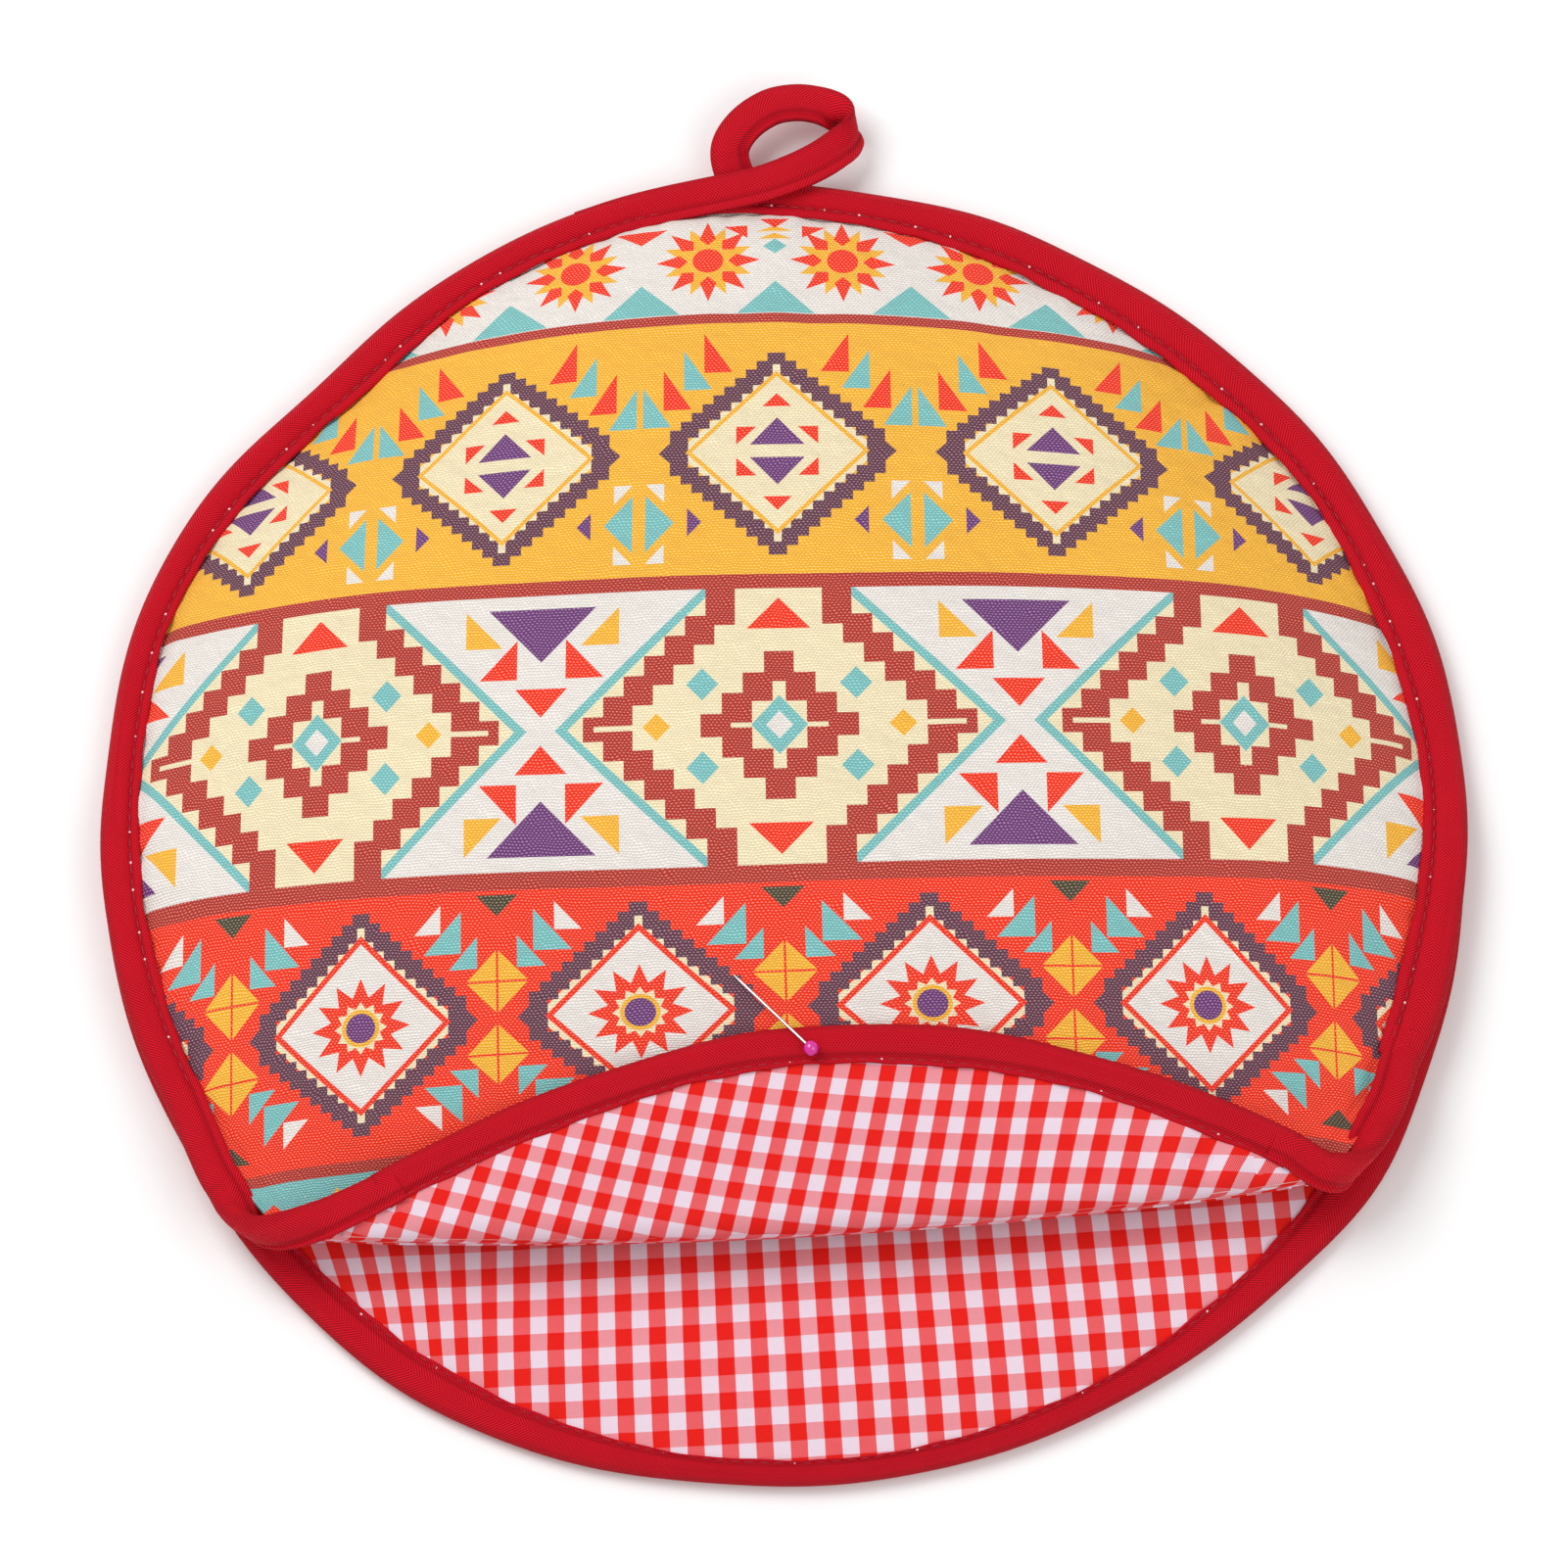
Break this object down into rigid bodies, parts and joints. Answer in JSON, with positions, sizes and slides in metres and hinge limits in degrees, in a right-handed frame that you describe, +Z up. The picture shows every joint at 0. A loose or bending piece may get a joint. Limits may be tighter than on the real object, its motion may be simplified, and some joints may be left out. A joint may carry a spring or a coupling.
{
  "type": "tortilla warmer",
  "caption": "Round padded cloth pouch with a gingham lining, bound edge, hanging loop and a front lip turned back at its mouth and pinned.",
  "frame": {"origin": "middle of the round, on the flat face of the back panel that it lies on", "axes": "+Z up out of the back panel, +Y towards the hanging loop, -Y towards the open mouth, +X to the right seen from the mouth"},
  "size_m": [0.305, 0.3296, 0.0332],
  "materials": {
    "printed_cloth": "printed woven cotton in bands of stepped diamonds and triangles",
    "wadding": "soft heat-keeping wadding",
    "gingham_lining": "red and white gingham cotton, matte",
    "binding_tape": "dark red twill tape, matte, stitched along its inner edge",
    "pin_steel": "plated steel wire",
    "pin_pearl": "glossy pearl"
  },
  "bodies": {
    "pouch": {"back_cover": "printed_cloth", "back_wadding": "wadding", "back_lining": "gingham_lining", "back_mouth_binding": "binding_tape", "front_cover": "printed_cloth", "front_wadding": "wadding", "front_lining": "gingham_lining", "rim_binding": "binding_tape", "loop_anchor": "binding_tape"},
    "flap": {"flap_cover": "printed_cloth", "flap_wadding": "wadding", "flap_lining": "gingham_lining", "flap_binding_left": "binding_tape", "flap_binding_right": "binding_tape"},
    "lip": {"lip_cover": "printed_cloth", "lip_wadding": "wadding", "lip_lining": "gingham_lining", "lip_binding": "binding_tape", "pin_shank": "pin_steel", "pin_head": "pin_pearl"},
    "loop": {"hanging_loop": "binding_tape"}
  },
  "joints": [
    {"name": "mouth_lift", "type": "hinge", "parent": "pouch", "child": "flap", "pos_m": [0, -0.008, 0.018], "axis": [-1, 0, 0], "range_deg": [0, 35]},
    {"name": "lip_fold", "type": "hinge", "parent": "flap", "child": "lip", "pos_m": [0.00572, -0.09914, 0.0165], "axis": [0.9983, 0.0576, 0], "range_deg": [0, 170]},
    {"name": "loop_swing", "type": "hinge", "parent": "pouch", "child": "loop", "pos_m": [0, 0.15435, 0.0102], "axis": [1, 0, 0], "range_deg": [0, 90]}
  ]
}
